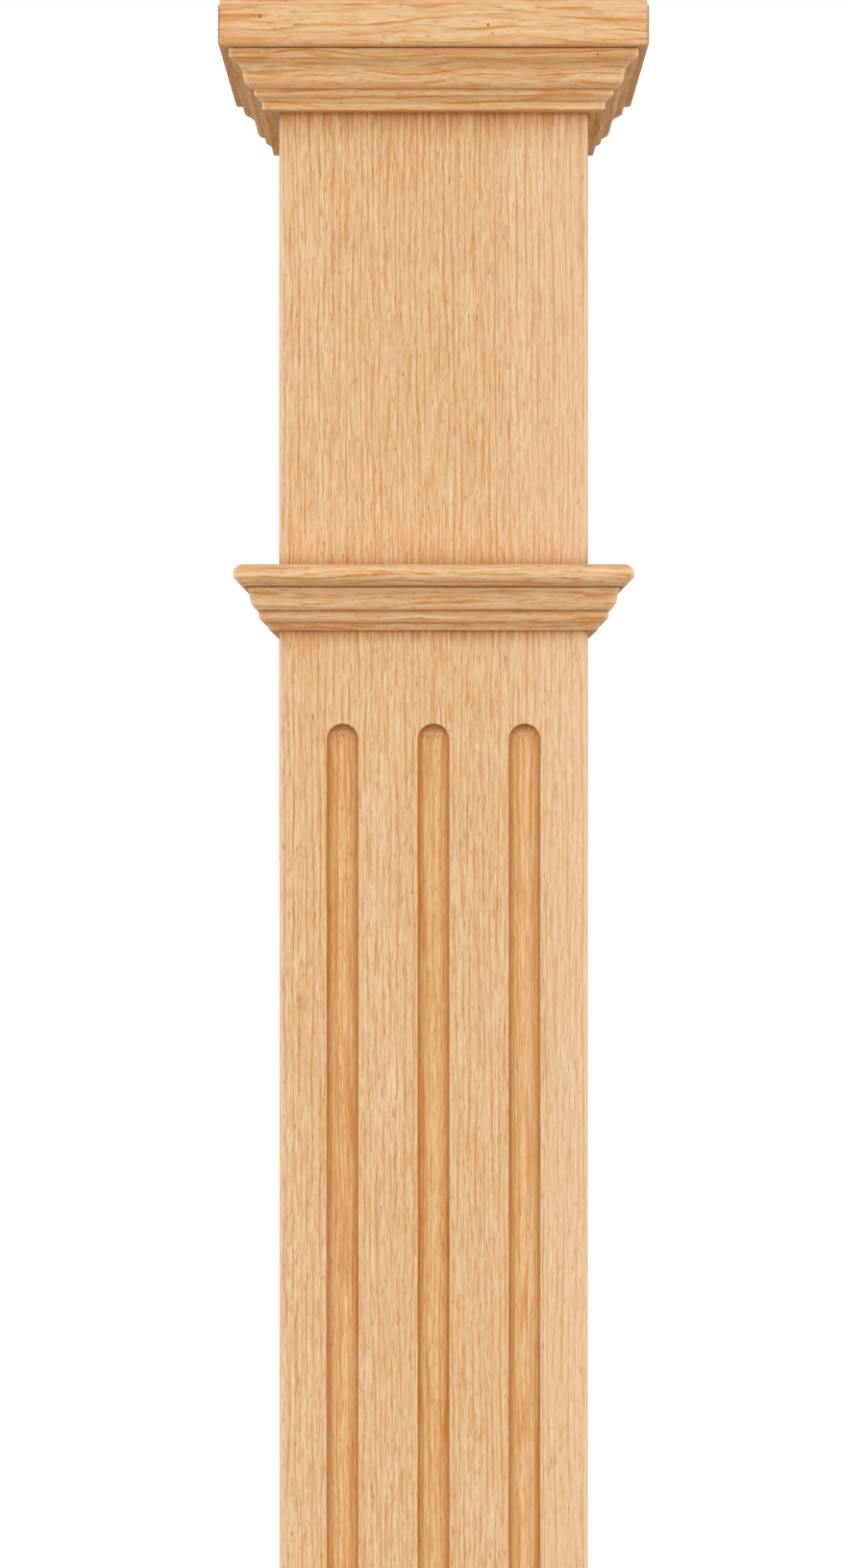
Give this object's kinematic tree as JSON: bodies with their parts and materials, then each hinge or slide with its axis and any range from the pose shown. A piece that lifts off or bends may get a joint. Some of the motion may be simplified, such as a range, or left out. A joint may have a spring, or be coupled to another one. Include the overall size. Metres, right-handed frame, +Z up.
{
  "type": "box newel post",
  "caption": "Hollow square box newel post in pale oak: fluted shaft, collar moulding, plain neck for the handrail, and a flat cap on a moulding.",
  "frame": {"origin": "on the ground, in the middle of the post's square foot", "axes": "+Z up along the post, -Y out of the front face, +X to the right of the front face"},
  "size_m": [0.219, 0.219, 1.397],
  "materials": {
    "shaft_oak": "planed and sanded pale red oak, bare or under a clear matt coat, with upright grain",
    "moulding_oak": "moulded pale red oak, bare or under a clear matt coat, with the grain along each length",
    "cap_oak": "planed and sanded pale red oak, bare or under a clear matt coat, with level grain"
  },
  "bodies": {
    "root": {"shaft_board_front": "shaft_oak", "shaft_board_right": "shaft_oak", "shaft_board_back": "shaft_oak", "shaft_board_left": "shaft_oak", "collar_moulding_front": "moulding_oak", "collar_moulding_right": "moulding_oak", "collar_moulding_back": "moulding_oak", "collar_moulding_left": "moulding_oak", "cap_moulding_front": "moulding_oak", "cap_moulding_right": "moulding_oak", "cap_moulding_back": "moulding_oak", "cap_moulding_left": "moulding_oak", "cap_board": "cap_oak", "cap_top_board": "cap_oak"}
  },
  "joints": []
}
